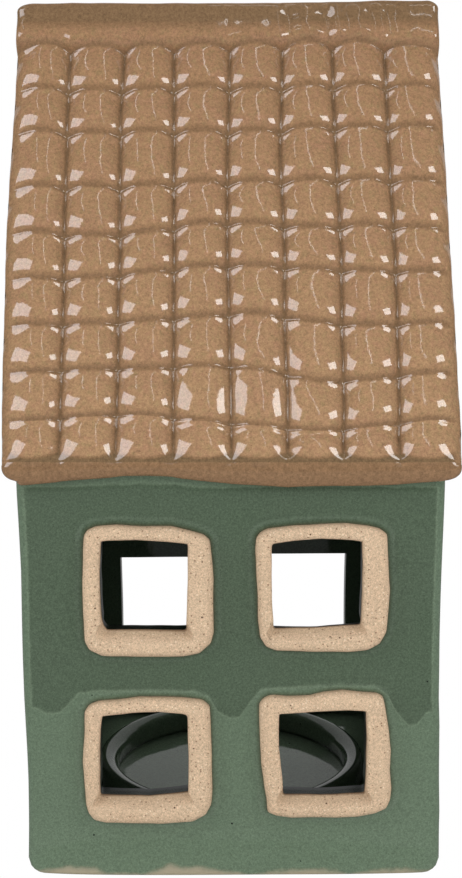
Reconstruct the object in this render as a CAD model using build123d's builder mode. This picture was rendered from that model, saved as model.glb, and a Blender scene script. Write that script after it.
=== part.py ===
from build123d import *

import os
from itertools import accumulate
from math import cos, radians, sin, tan

# A tealight house of clay slabs: four framed windows, an opening behind and a roof of lapped tile strips.
# The front faces -Y. The origin is the middle of the underside.

# Walls and floor
wall_width = 96.0
wall_depth = 90.0
wall_thickness = 5.0
corner_round = 2.0
base_thickness = 6.0
foot_bevel = 1.0
eave_height = 93.7

# Windows, which fill the front wall between these margins
window_left_margin = 14.0
window_right_margin = 11.6
window_foot_margin = 13.1
window_eave_margin = 9.8
window_gap_across = 10.0
window_gap_up = 9.2
frame_face = 4.8
frame_proud = 3.0
frame_corner = 4.5
frame_edge_round = 1.8
sleeve_thickness = 2.4
sleeve_clearance = 0.2

# Opening in the rear wall
back_opening_side_margin = 15.5
back_opening_sill = 10.0
back_opening_drop = 41.2
back_opening_round = 4.0

# Candle ring
candle_ring_gap = 6.0
candle_ring_wall = 4.0
candle_ring_height = 8.0
candle_ring_lead_in = 1.2

# Roof slabs
gable_overhang = 2.0
eave_overhang = 5.0
roof_slope = 64.7
roof_slab_thickness = 4.0
eave_face_height = 2.3
eave_lip_height = 2.5
eave_round = 1.6
lip_round = 0.9
gable_round = 3.0

# Tiles
tile_columns = 8
tile_thickness = 4.2
tile_fall = 1.3
tile_crown = 1.8
tile_nose_round = 2.0
tile_nose_rise = 0.2
tongue_thickness = 0.6
tongue_lap = 3.0
course_length_shares = (0.102, 0.105, 0.108, 0.110, 0.110, 0.122, 0.127, 0.110, 0.106)

# Ridge cap
ridge_band = 11.4
ridge_proud = 1.0
ridge_round = 3.0
ridge_lip_round = 1.6

# How far a cutting shape runs past what it cuts
overrun = 1.0

# Places worked out from the sizes above
slope = radians(roof_slope)
wall_face = wall_depth / 2
wall_inside = wall_face - wall_thickness
gable_inside = wall_width / 2 - wall_thickness
roof_width = wall_width + 2 * gable_overhang
eave_reach = wall_face + eave_overhang
eave_point_height = eave_height + eave_face_height
tile_apex = eave_point_height + eave_reach * tan(slope)
cap_apex = tile_apex + ridge_proud / cos(slope)
slab_apex = tile_apex - tile_thickness / cos(slope)
ceiling_apex = slab_apex - roof_slab_thickness / cos(slope)
ceiling_reach = (ceiling_apex - eave_height) / tan(slope)
ridge_start = eave_reach / cos(slope) - ridge_band
courses_length = ridge_start - eave_lip_height
frame_width = (wall_width - window_left_margin - window_right_margin - window_gap_across) / 2
frame_height = (eave_height - window_foot_margin - window_eave_margin - window_gap_up) / 2
opening_width = frame_width - 2 * frame_face
opening_height = frame_height - 2 * frame_face
hole_width = opening_width + 2 * sleeve_thickness
hole_height = opening_height + 2 * sleeve_thickness
back_opening_width = wall_width - 2 * back_opening_side_margin
back_opening_top = eave_height - back_opening_drop
candle_bore = 2 * (wall_inside - candle_ring_gap - candle_ring_wall)
front_face = Plane.XZ.offset(wall_face)


def save(piece, name):
    """Labels a finished piece and writes it under its own name."""
    piece.label = name
    export_step(piece, f"parts/{name}.step")


def on_slope(along, height):
    """Place (y, z) on the front slope: along it from the eave, and above the roof slab."""
    depth = tile_thickness - height
    y = -eave_reach + along * cos(slope) + depth * sin(slope)
    z = eave_point_height + along * sin(slope) - depth * cos(slope)
    return (y, z)


def rear_of(front_piece):
    """The same piece on the rear slope."""
    with BuildPart() as rear_piece:
        mirror(front_piece, about=Plane.XZ)
    return rear_piece.part


# Floor and candle ring
def base_slab():
    with BuildPart() as base:
        with BuildSketch():
            RectangleRounded(wall_width, wall_depth, corner_round)
        extrude(amount=base_thickness)
        chamfer(base.faces().sort_by(Axis.Z)[0].edges(), length=foot_bevel)
    return base.part


def candle_ring():
    with BuildPart() as ring:
        with BuildSketch(Plane.XY.offset(base_thickness)):
            Circle(candle_bore / 2 + candle_ring_wall)
            Circle(candle_bore / 2, mode=Mode.SUBTRACT)
        extrude(amount=candle_ring_height)
        top_edges = ring.edges().group_by(Axis.Z)[-1]
        chamfer(top_edges.sort_by(SortBy.LENGTH)[0], length=candle_ring_lead_in)
    return ring.part


# Walls
def wall_side_view(y_from, y_to, x=0):
    """What stands between two depths, from the base slab up to the underside of the roof."""
    with BuildSketch(Plane.YZ.offset(x)) as side_view:
        with BuildLine():
            Polyline(
                (-wall_face, base_thickness),
                (-wall_face, eave_height),
                (-ceiling_reach, eave_height),
                (0, ceiling_apex),
                (ceiling_reach, eave_height),
                (wall_face, eave_height),
                (wall_face, base_thickness),
                close=True,
            )
        make_face()
        with Locations(((y_from + y_to) / 2, ceiling_apex / 2)):
            Rectangle(y_to - y_from, ceiling_apex, mode=Mode.INTERSECT)
    return side_view.sketch


def long_wall(y_from, y_to):
    """The slab of the front or rear wall, with its outer corners rounded."""
    with BuildPart() as wall:
        extrude(wall_side_view(y_from, y_to), amount=wall_width / 2, both=True)
        uprights = wall.edges().filter_by(Axis.Z).group_by(Axis.Y)
        fillet(uprights[0 if y_from < 0 else -1], radius=corner_round)
    return wall.part


def window_centres():
    """Places of the windows by name, across and up the front wall."""
    left = window_left_margin + frame_width / 2 - wall_width / 2
    right = wall_width / 2 - window_right_margin - frame_width / 2
    lower = window_foot_margin + frame_height / 2
    upper = eave_height - window_eave_margin - frame_height / 2
    centres = {}
    for row, z in (("lower", lower), ("upper", upper)):
        for column, x in (("left", left), ("right", right)):
            centres[f"{row}_{column}"] = (x, z)
    return centres


def front_wall():
    with BuildPart() as wall:
        add(long_wall(-wall_face, -wall_inside))
        with BuildSketch(front_face):
            with Locations(*window_centres().values()):
                Rectangle(hole_width, hole_height)
        extrude(amount=-(wall_thickness + overrun), mode=Mode.SUBTRACT)
    return wall.part


def back_wall():
    with BuildPart() as wall:
        add(long_wall(wall_inside, wall_face))
        with BuildSketch(Plane.XZ.offset(-wall_inside)):
            with Locations((0, (back_opening_sill + back_opening_top) / 2)):
                opening_rise = back_opening_top - back_opening_sill
                RectangleRounded(back_opening_width, opening_rise, back_opening_round)
        extrude(amount=-(wall_thickness + overrun), mode=Mode.SUBTRACT)
    return wall.part


def gable_wall(side):
    """The wall at the left end for side -1, at the right end for side 1."""
    with BuildPart() as wall:
        side_view = wall_side_view(-wall_inside, wall_inside, side * gable_inside)
        extrude(side_view, amount=side * wall_thickness)
    return wall.part


# Window frames
def window_frame(centre):
    """A rounded frame on the wall's face with a sleeve that lines the hole."""
    with BuildPart() as frame:
        with BuildSketch(front_face):
            with Locations(centre):
                RectangleRounded(frame_width, frame_height, frame_corner)
        extrude(amount=frame_proud)
        with BuildSketch(front_face):
            with Locations(centre):
                Rectangle(hole_width - 2 * sleeve_clearance, hole_height - 2 * sleeve_clearance)
        extrude(amount=-wall_thickness)
        with BuildSketch(front_face.offset(frame_proud)):
            with Locations(centre):
                Rectangle(opening_width, opening_height)
        extrude(amount=-(frame_proud + wall_thickness + overrun), mode=Mode.SUBTRACT)
        fillet(frame.faces().sort_by(Axis.Y)[0].edges(), radius=frame_edge_round)
    return frame.part


# Roof
def front_view_trim(z_from, z_to, corners):
    """Front view of the roof between two heights, with its chosen corners rounded."""
    with BuildSketch(Plane.XZ) as outline:
        with Locations((0, (z_from + z_to) / 2)):
            Rectangle(roof_width, z_to - z_from)
        fillet(outline.vertices().group_by(Axis.Y)[corners], radius=gable_round)
    return outline.sketch


def roof_slab():
    """The front slab, whose lip along the eave holds back the first course of tiles."""
    with BuildPart() as slab:
        with BuildSketch(Plane.YZ) as section:
            eave_corner = (-eave_reach, eave_height)
            lip_edge = on_slope(eave_lip_height, tile_thickness)
            with BuildLine():
                Polyline(
                    (-ceiling_reach, eave_height),
                    eave_corner,
                    (-eave_reach, eave_point_height),
                    lip_edge,
                    on_slope(eave_lip_height, tongue_thickness),
                    on_slope(eave_lip_height + tongue_lap, tongue_thickness),
                    on_slope(eave_lip_height + tongue_lap, 0),
                    (0, slab_apex),
                    (0, ceiling_apex),
                    close=True,
                )
            make_face()
            fillet(section.vertices().sort_by_distance(eave_corner)[0], radius=eave_round)
            fillet(section.vertices().sort_by_distance(lip_edge)[0], radius=lip_round)
        extrude(amount=roof_width / 2, both=True)
        trim = front_view_trim(eave_height, cap_apex, 0)
        extrude(trim, amount=eave_reach + overrun, mode=Mode.INTERSECT)
    return slab.part


def ridge_cap():
    """The saddle over the ridge, with its lower edges against the last course of each slope."""
    with BuildPart() as cap:
        with BuildSketch(Plane.YZ) as section:
            lower_edge = on_slope(ridge_start, tile_thickness + ridge_proud)
            with BuildLine():
                Polyline(
                    (0, slab_apex),
                    on_slope(ridge_start, 0),
                    lower_edge,
                    (0, cap_apex),
                    close=True,
                )
            make_face()
            mirror(about=Plane.YZ)
            fillet(section.vertices().sort_by_distance((0, cap_apex))[0], radius=ridge_round)
            for side in (-1, 1):
                corner = (side * lower_edge[0], lower_edge[1])
                fillet(section.vertices().sort_by_distance(corner)[0], radius=ridge_lip_round)
        extrude(amount=roof_width / 2, both=True)
        cap_top = cap_apex - ridge_round / cos(slope) + ridge_round
        trim = front_view_trim(eave_height, cap_top, -1)
        extrude(trim, amount=eave_reach, both=True, mode=Mode.INTERSECT)
    return cap.part


def tile_course(start, end, has_tongue):
    """A strip of crowned tiles with rounded noses. Its tongue runs under the next strip's noses."""
    nose_height = tile_thickness + tile_nose_rise
    if has_tongue:
        upper_end = [
            on_slope(end + tongue_lap, 0),
            on_slope(end + tongue_lap, tongue_thickness),
            on_slope(end, tongue_thickness),
        ]
    else:
        upper_end = [on_slope(end, 0)]
    with BuildPart() as course:
        with BuildSketch(Plane.YZ) as section:
            nose = on_slope(start, nose_height)
            with BuildLine():
                Polyline(
                    nose,
                    on_slope(start, tongue_thickness),
                    on_slope(start + tongue_lap, tongue_thickness),
                    on_slope(start + tongue_lap, 0),
                    *upper_end,
                    on_slope(end, nose_height - tile_fall),
                    close=True,
                )
            make_face()
            fillet(section.vertices().sort_by_distance(nose)[0], radius=tile_nose_round)
        extrude(amount=roof_width / 2, both=True)

        nose_y, nose_z = on_slope(start, tile_thickness)
        end_y, end_z = on_slope(end, tile_thickness - tile_fall)
        down_the_tile = (0, nose_y - end_y, nose_z - end_z)
        with BuildSketch(Plane((0, nose_y, nose_z), x_dir=(1, 0, 0), z_dir=down_the_tile)):
            tile_width = roof_width / tile_columns
            with BuildLine():
                for column in range(tile_columns):
                    left = column * tile_width - roof_width / 2
                    middle = left + tile_width / 2
                    right = left + tile_width
                    ThreePointArc((left, -tile_crown), (middle, 0), (right, -tile_crown))
                Polyline(
                    (roof_width / 2, -tile_crown),
                    (roof_width / 2, -2 * tile_thickness),
                    (-roof_width / 2, -2 * tile_thickness),
                    (-roof_width / 2, -tile_crown),
                )
            make_face()
        extrude(amount=2 * (end - start + tongue_lap), both=True, mode=Mode.INTERSECT)
    return course.part


os.makedirs("parts", exist_ok=True)

save(base_slab(), "base_slab")
save(candle_ring(), "candle_ring")
save(front_wall(), "front_wall")
save(back_wall(), "back_wall")
save(gable_wall(-1), "left_gable_wall")
save(gable_wall(1), "right_gable_wall")
for place, centre in window_centres().items():
    save(window_frame(centre), f"window_frame_{place}")

front_slab = roof_slab()
save(front_slab, "front_roof_slab")
save(rear_of(front_slab), "rear_roof_slab")
save(ridge_cap(), "ridge_cap")

course_ends = [eave_lip_height + courses_length * share for share in accumulate(course_length_shares)]
course_starts = [eave_lip_height] + course_ends[:-1]
for number, (start, end) in enumerate(zip(course_starts, course_ends), 1):
    course = tile_course(start, end, number < len(course_ends))
    save(course, f"front_tile_course_{number}")
    save(rear_of(course), f"rear_tile_course_{number}")
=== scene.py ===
from math import cos, pi, radians, sin, tan

import bpy
import numpy as np
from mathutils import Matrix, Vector, noise


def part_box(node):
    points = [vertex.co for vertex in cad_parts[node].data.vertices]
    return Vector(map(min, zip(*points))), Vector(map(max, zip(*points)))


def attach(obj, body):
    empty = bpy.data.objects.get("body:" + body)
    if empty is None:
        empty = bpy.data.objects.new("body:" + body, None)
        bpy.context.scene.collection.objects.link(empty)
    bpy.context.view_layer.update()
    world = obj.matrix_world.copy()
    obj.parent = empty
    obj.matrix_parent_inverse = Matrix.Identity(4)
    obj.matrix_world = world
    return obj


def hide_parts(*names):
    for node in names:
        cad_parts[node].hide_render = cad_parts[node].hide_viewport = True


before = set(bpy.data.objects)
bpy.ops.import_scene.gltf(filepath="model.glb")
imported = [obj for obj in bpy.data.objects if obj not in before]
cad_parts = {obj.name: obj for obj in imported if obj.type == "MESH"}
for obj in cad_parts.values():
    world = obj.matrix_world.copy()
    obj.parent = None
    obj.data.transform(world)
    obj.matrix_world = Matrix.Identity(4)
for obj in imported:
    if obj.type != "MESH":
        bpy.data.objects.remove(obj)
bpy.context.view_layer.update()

# The unevenness of the clay is the same in each run.
noise.seed_set(4)

# All sizes below are in millimetres and become metres where a mesh is made.
# FAR is further than any rule below looks.
MM = 0.001
FAR = 50.0

# Roof
ROOF_SLOPE = radians(64.7)
TILE_THICKNESS = 4.2
CAP_HEIGHT = 5.2
VERGE_ROUND = 1.6
VERGE_SHIFT = -1.2
VERGE_CURVE = 1.45
RIDGE_ROUND = 3.0
RIDGE_CORNER = 2.2
EAVE_FACE = 2.3
EAVE_CORNER = 3.0
CORNER_START = 38.0
CELLS_PER_TILE = 20
NOSE_ROWS = 14
ARC_ROWS = 8
GROOVE_LINES = (-50, -38.1, -25.9, -13.5, -0.9, 11.9, 24.1, 36.4, 50)
COURSE_LINES = (2.5, 13, 23.8, 34.9, 46.3, 57.7, 70.3, 83.4, 94.7, 105.6)
COURSES = len(COURSE_LINES) - 1
TILES = len(GROOVE_LINES) - 1
EAVE_WAVE_X = (-47.5, -34.6, -20.2, -12, -6.9, 0, 6.4, 12, 20.4, 28, 38, 46)
EAVE_WAVE = (-1.1, 0.1, 1.3, 0.8, -0.1, -0.7, -1, -1.5, -1.1, -1.2, -0.8, -0.1)

# How far the hand-set tiles stray: up the slope for each course line and tile, and sideways for
# each inner groove in each course, smoothed over STRAY_REACH steps
COURSE_SHIFTS = (
    (0, 0, 0, 0, 0, 0, 0, 0),
    (-0.5, 0.5, 0.8, -0.7, -1.7, -2.8, -1.9, -0.4),
    (0.1, 0.7, 0.9, 1.4, 0.5, -2, -1.6, -0.2),
    (0.2, 0.5, 1.2, 2.2, 2.9, 1, 0.1, 0.6),
    (0.1, 0.2, 1.5, 3, 3.2, 2.4, 1.9, 1.7),
    (0, -0.8, 0.1, 2.2, 2.2, 1.4, 1.8, 1.2),
    (-1, -1, -0.8, 0.2, 0.2, 0.7, 0.8, 0.5),
    (0, -0.5, 0, 0.1, 0, 1, 1.2, 1.2),
    (-0.1, -0.5, -0.3, 0.3, 0, 0.5, 0.8, 0.6),
    (0.8, 0.3, 0.5, 0.8, 1, 1.3, 1.3, 0.4),
)
COURSE_ARCHES = (0, 0.2, 0.2, 0.4, 0.6, 0.8, 1.2, 1.2, 1.2, 1.8)
COURSE_NOSE = 0.4
STRAY_STEP = 0.5
STRAY_ENDS = (-5.0, 125.0)
STRAY_REACH = 9
GROOVE_SHIFTS = (
    (0, 0, -0.1, 0, -0.3, -0.5, -0.4, -0.6, -0.4),
    (0.3, 0.4, 0.5, 0.1, 0.5, 0, 0, -0.3, 0.4),
    (0.7, 0.5, 0.6, 0.4, 0.5, 0.2, 0.1, 0, -0.2),
    (1, 0.9, 0.5, 0.4, 0, 0, 0, 0.4, 0.6),
    (0.6, 0.8, 0.3, 0.2, 0.5, 0.1, -0.5, 0, 0.3),
    (0.8, 1.3, 1, 1.1, 1.3, 0.9, 0.5, 0.2, 0.1),
    (0.9, 1.3, 1.3, 1.4, 1.3, 1, 0.6, 0.5, 0.3),
)

# Inputs of the rule for the tiles' relief
RELIEF = {
    "Crown": 4.75,
    "Fall": 1.55,
    "Shoulder": 6.1,
    "Crest": 4.8,
    "Nose Curve": 0.04,
    "Nose Step": 0.9,
    "Nose Corner": 2.2,
    "Shelf": 1.2,
    "Shelf Arch": 2.7,
    "Shelf Rise": 0.3,
    "Shelf Shoulder": 4.0,
    "Groove Depth": 1.8,
    "Trench Depth": 0.35,
    "Trench Width": 0.42,
    "Cap Height": CAP_HEIGHT,
    "Cap Nose": 2.4,
    "Cap Dip": 0.9,
    "Seed": 4.0,
}

# The flatter tiles in front: how much flatter, and their middle and reach as (across, along)
PRESSED = 1.12
PRESSED_PLACE = (2.0, 18.5)
PRESSED_REACH = (14.0, 7.5)

# How far the verges bulge out along the slope, and how much the ridge rises across the house
VERGE_ALONG = (3, 10, 24, 38, 56, 75, 90, 106)
VERGE_LEFT = (0.8, 1.35, 1.75, 1.9, 2.25, 2.0, 1.6, 1.4)
VERGE_RIGHT = (1.1, 1.55, 1.3, 1.2, 0.8, 0.6, 0.2, -0.2)
RIDGE_LIFT_X = (-50, 10, 26, 40, 50)
RIDGE_LIFT = (0.95, 1.1, 1.35, 1.7, 1.7)

# Walls
CORNER_ROUND = 2.2
FOOT_CORNER = 2.2
WALL_CELL = 0.55
PLAIN_CELL = 2.0
COAT_THICKNESS = 0.12
GLAZE_RISE = 0.35
GLAZE_REACH = 2.2

# The upper coat of glaze: its lower edge as (x, z), how far it stays from the wall's edges, how deep
# inside it is measured, and its top. FRAME_LINE is where the painted highlight line round a frame runs.
COAT_EDGE = (
    (-45, 39.5, -43, 38.3, -39.5, 38.7, -37.5, 40.5, -35, 43.2, -30, 43.9, -8, 44.1, -5, 42.9)
    + (-2.7, 39.2, -0.3, 37.6, 2.3, 38, 4.4, 41.2, 7, 44.5, 20, 45.5, 33, 45.3, 36, 43)
    + (38.2, 38.8, 40.6, 35.4, 42.8, 36, 45, 39)
)
COAT_MARGIN = 1.8
COAT_DEEP = 4.0
COAT_TOP = 91.8
FRAME_LINE = 1.35

# How far the foot spreads forward, and how far the side edges lean to the right at each height.
# Each is full at the wall's edge or face and fades out towards its start.
FOOT_SPREAD = 3.2
FOOT_SPREAD_TOP = 11.0
FOOT_SPREAD_START = 38.0
FOOT_ROUND = 3.2
FOOT_ROUND_START = 36.0
LEAN_START = 37.0
LEAN_HEIGHTS = (0, 14, 22, 35, 42, 55, 72, 90)
LEAN_LEFT = (0.6, 0.65, 0.6, 0.3, 0.22, 0.35, 0.4, 0.0)
LEAN_RIGHT = (0.8, 0.85, 0.6, 0.35, 0.0, -0.15, -0.1, 0.0)

# Frames: the outer edge and the opening of each, clockwise from the upper left, as (x, z)
FRAMES = {
    "window_frame_upper_left": (
        (-33, 80.7, -32.2, 82, -30.3, 82.8, -25.6, 83.2, -19.4, 82.9, -13.3, 83, -9.2, 82, -6.1, 81)
        + (-4.8, 79.8, -4.3, 75.9, -3.9, 71, -3.8, 64.9, -3.6, 58.5, -4.3, 55.9, -6.9, 53.7, -10.7, 52.9)
        + (-22.9, 52.8, -29.4, 52.9, -32.2, 54.3, -33.2, 56.3, -33.5, 63.1, -33.5, 70.3, -33.3, 77.4),
        (-29.1, 79.6, -27.6, 79.8, -21.4, 80.1, -15.3, 79.8, -9.7, 79.3, -9.7, 74.1, -9.9, 58.6, -19, 58.7)
        + (-28.3, 58.6, -29, 59.7, -29.4, 61.8, -29.6, 65.3, -29.7, 72.3, -29.3, 77.6),
    ),
    "window_frame_upper_right": (
        (5.6, 80.2, 6.5, 81.6, 8.2, 82.4, 14.3, 83, 20.5, 83.3, 25.9, 83.5, 30.7, 83, 33.5, 82.3)
        + (35, 81.1, 35.2, 78.8, 35.5, 73.8, 36, 68.5, 35.7, 63.1, 35.3, 58.5, 33.9, 55.9, 31.2, 54.5)
        + (27, 54, 10.4, 54.3, 8.3, 55.2, 6.9, 57.4, 6.4, 61.4, 6.2, 66.7, 5.7, 73.8, 5.5, 77.4),
        (9.2, 79.2, 14.6, 79.9, 20.4, 80.3, 27.3, 80, 29.5, 79.7, 29.8, 74.1, 29.8, 67, 29.5, 60)
        + (20, 59.3, 10, 59, 9.4, 67, 9.1, 77.6),
    ),
    "window_frame_lower_left": (
        (-33.6, 39.4, -32.5, 40.9, -30.5, 41.7, -25.8, 42.1, -20.7, 42.8, -15.7, 42.9, -10.7, 42.8)
        + (-6.3, 42.3, -4.6, 40.9, -4.4, 36.2, -4.3, 25.5, -4.2, 20.9, -4.5, 17.2, -5.7, 14.7)
        + (-8.5, 13.1, -16, 12.5)
        + (-28.9, 12.7, -31.6, 13.4, -33, 15.1, -33.6, 17.2, -34.3, 27.3, -33.8, 34.5),
        (-29.5, 38.6, -22.4, 39.5, -16.4, 39.8, -11, 39.5, -9.7, 39.1, -9.6, 24.2, -9.7, 19.5, -18.6, 18.5)
        + (-30.2, 18.8, -30.3, 22.4, -30.3, 27.8, -30.1, 34.9),
    ),
    "window_frame_lower_right": (
        (6.7, 41.6, 7.7, 42.8, 9.4, 43.5, 13.4, 43.3, 18.1, 43.4, 21.5, 44.3, 25.8, 44.7, 29.5, 44.2)
        + (33.2, 44, 34.7, 43.3, 35.3, 40.9, 36.3, 34.5, 36.7, 30.2, 36.6, 25.5, 37, 21.2, 36.7, 18.3)
        + (35.8, 16.2, 33.1, 14.9, 29, 14.2, 23.9, 14, 13.6, 14, 10.2, 14.5, 8.3, 15.4, 8.2, 18.3)
        + (7.5, 21.9, 6.9, 27.3, 6.6, 38.7),
        (11.1, 39.6, 20.1, 40.2, 26.8, 40.4, 30.9, 40.2, 31.2, 33.3, 31.1, 26, 30.8, 19.3, 20.5, 18.8)
        + (12, 19, 11.7, 24.2, 11, 31.3),
    ),
}
FRAME_PROUD = 3.1
FRAME_SET_IN = 0.4
FRAME_EDGE = 2.0
FRAME_SIDE = 1.9
OPENING_EDGE = 0.9
SILL_EDGE = 2.4
SILL_RISE = 0.1
SLEEVE = 1.4
SLEEVE_GAP = 0.2
SILL_DROPS = {
    "window_frame_upper_left": 0.4,
    "window_frame_upper_right": 1.2,
    "window_frame_lower_left": 0.4,
    "window_frame_lower_right": 0.4,
}
FRAME_STEPS = 256
BACK_OPENING = ((-31.6, 10.0), (33.0, 52.9))
BACK_LIFT = 1.1

# Lamps: their distance and what they are aimed at, in metres
LAMP_DISTANCE = 1.2
LAMP_TARGET = (0, 0, 0.1)

# Camera, as fitted to the photograph
CAMERA_PLACE = (0.0, -358.6, 158.9)
CAMERA_TILT = radians(79.83)
CAMERA_LENS = 58.87


def box_mm(node):
    """Lowest and highest corners of a node, in millimetres."""
    low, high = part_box(node)
    return [v / MM for v in low], [v / MM for v in high]


slab_low, slab_high = box_mm("front_roof_slab")
wall_low, wall_high = box_mm("front_wall")
gable_low, gable_high = box_mm("right_gable_wall")

EAVE_REACH = -slab_low[1]
EAVE_HEIGHT = slab_low[2]
EAVE_POINT = EAVE_HEIGHT + EAVE_FACE
ROOF_HALF = slab_high[0]
SLAB_APEX = slab_high[2]
CEILING_APEX = gable_high[2]
CEILING_REACH = (CEILING_APEX - EAVE_HEIGHT) / tan(ROOF_SLOPE)
RIDGE_TOP = box_mm("ridge_cap")[1][2]
WALL_HALF = wall_high[0]
WALL_FACE = -wall_low[1]
WALL_INSIDE = -wall_high[1]
WALL_TOP_INSIDE = wall_high[2]
GABLE_INSIDE = gable_low[0]
BASE_TOP = box_mm("base_slab")[1][2]
RING_RADIUS = box_mm("candle_ring")[1][0]


# Nodes: arithmetic on a socket adds the nodes that it needs
def operator(operation, turned=False):
    """A method that adds a Math node for a value and another, in the other order if turned."""
    if turned:
        return lambda self, other: self.math(operation, other, self)
    return lambda self, other: self.math(operation, self, other)


class Value:
    """The value of a socket. Arithmetic on it adds Math nodes to its tree."""

    def __init__(self, nodes, socket):
        self.nodes = nodes
        self.socket = socket

    def math(self, operation, *values):
        return self.nodes.add("ShaderNodeMath", {"operation": operation}, values)

    __add__, __radd__ = operator("ADD"), operator("ADD", True)
    __sub__, __rsub__ = operator("SUBTRACT"), operator("SUBTRACT", True)
    __mul__, __rmul__ = operator("MULTIPLY"), operator("MULTIPLY", True)
    __truediv__, __rtruediv__ = operator("DIVIDE"), operator("DIVIDE", True)
    __pow__ = operator("POWER")
    at_most, at_least = operator("MINIMUM"), operator("MAXIMUM")

    def root(self):
        return self.math("SQRT", self)

    def ramp(self, low, high, kind="SMOOTHSTEP"):
        """0 up to low and 1 from high on."""
        inputs = {0: self, 1: low, 2: high}
        return self.nodes.add("ShaderNodeMapRange", {"interpolation_type": kind}, inputs)

    def beside(self, output):
        """Another output of the node that this value comes from."""
        return Value(self.nodes, self.socket.node.outputs[output])


class Nodes:
    """A node tree that is written as expressions."""

    def __init__(self, tree):
        self.tree = tree

    def add(self, kind, settings=None, inputs=(), output=0):
        """Adds a node: its settings first, then the values or links of its sockets."""
        node = self.tree.nodes.new(kind)
        for key, value in (settings or {}).items():
            setattr(node, key, value)
        pairs = inputs.items() if isinstance(inputs, dict) else enumerate(inputs)
        for key, value in pairs:
            if isinstance(value, Value):
                self.tree.links.new(value.socket, node.inputs[key])
            else:
                node.inputs[key].default_value = value
        return Value(self, node.outputs[output]) if node.outputs else None

    def blend(self, factor, first, second):
        """A colour between two colours."""
        return self.add("ShaderNodeMix", {"data_type": "RGBA"}, {0: factor, 6: first, 7: second}, output=2)

    def tint(self, colour, factor):
        """A colour made darker or lighter by a factor."""
        return self.add("ShaderNodeVectorMath", {"operation": "SCALE"}, {0: colour, "Scale": factor})

    def noise(self, place, size_mm, detail=2.0, roughness=0.5):
        """Noise from 0 to 1 whose lumps are about size_mm wide."""
        inputs = {"Vector": place, "Scale": 1 / (size_mm * MM), "Detail": detail, "Roughness": roughness}
        return self.add("ShaderNodeTexNoise", {}, inputs)

    def specks(self, place, size_mm, share, radius):
        """Round specks: a share of cells size_mm wide holds one, with a radius in cell widths."""
        cells = {"Vector": place, "Scale": 1 / (size_mm * MM), "Randomness": 1.0}
        distance = self.add("ShaderNodeTexVoronoi", {}, cells, output="Distance")
        draw = self.add("ShaderNodeSeparateColor", {}, {0: distance.beside("Color")})
        chosen = draw.math("LESS_THAN", draw, share)
        return chosen * (1 - distance.ramp(radius * 0.5, radius))

    def bell(self, value):
        """1 where the value is 0, falling to 0 on both sides."""
        power = value * value * -1
        return power.math("EXPONENT", power)

    def bump(self, height, depth_mm):
        inputs = {"Height": height, "Distance": depth_mm * MM, "Strength": 1.0}
        return self.add("ShaderNodeBump", {}, inputs)

    def place(self):
        return self.add("ShaderNodeTexCoord", output="Object")

    def split(self, vector, axis):
        return self.add("ShaderNodeSeparateXYZ", {}, {0: vector}, output=axis)

    def layer(self, name):
        return self.add("ShaderNodeAttribute", {"attribute_name": name}, output="Fac")


def tone(red, green, blue):
    """A colour as seen on a screen, 0 to 255, as linear values."""
    values = [v / 255 for v in (red, green, blue)]
    return (*[v / 12.92 if v <= 0.04045 else ((v + 0.055) / 1.055) ** 2.4 for v in values], 1.0)


def surface(name):
    """A new material and its tree."""
    material = bpy.data.materials.new(name)
    material.use_nodes = True
    material.node_tree.nodes.clear()
    return material, Nodes(material.node_tree)


def finish_surface(nodes, inputs):
    """Puts a Principled shader with the given inputs on the output."""
    shader = nodes.add("ShaderNodeBsdfPrincipled", {}, inputs)
    nodes.add("ShaderNodeOutputMaterial", {}, {"Surface": shader})


def roof_glaze():
    """Glossy brown glaze, light on the crowns of the tiles and dark where it pools, with shade painted
    darker on the tile noses, beside the grooves, on the eave lips, the verges and the ridge band.
    """
    material, nodes = surface("roof_glaze")
    place = nodes.place()
    height = nodes.split(place, "Z")
    pool_and_shade = nodes.layer("pool_and_shade")
    upward = height.ramp(EAVE_HEIGHT * MM, RIDGE_TOP * MM, "LINEAR")
    clouds = nodes.noise(place, 9.0, 3.0)
    mottle = nodes.noise(place, 1.3, 2.0)
    grain = nodes.noise(place, 0.7, 2.0, 0.7)
    fine = nodes.noise(place, 0.3, 1.0)
    brown = nodes.blend(upward, tone(169, 135, 101), tone(154, 120, 89))
    brown = nodes.blend(clouds.ramp(0.45, 0.7) * 0.5, brown, tone(158, 121, 94))
    brown = nodes.blend(mottle.ramp(0.5, 0.75) * 0.5, brown, tone(166, 124, 98))
    brown = nodes.blend((1 - mottle.ramp(0.25, 0.5)) * 0.5, brown, tone(148, 128, 90))
    rust = nodes.specks(place, 1.1, 0.12, 0.17)
    brown = nodes.blend(rust * 0.6, brown, tone(112, 70, 50))
    # Darker where the glaze pools, and where shade is painted on the noses, groove sides, eave lips,
    # verges and ridge band.
    shade = nodes.blend(pool_and_shade.ramp(0.7, 1.0), tone(136, 106, 78), tone(120, 97, 71))
    colour = nodes.blend(pool_and_shade.ramp(0.0, 0.7, "LINEAR"), brown, shade)
    colour = nodes.tint(colour, 1 + 1.0 * (grain - 0.5) + 0.6 * (fine - 0.5))
    waves = nodes.bump(nodes.noise(place, 2.6, 2.0), 0.03)
    finish_surface(nodes, {"Base Color": colour, "Roughness": 0.07, "IOR": 1.5, "Normal": waves})
    return material


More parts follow.
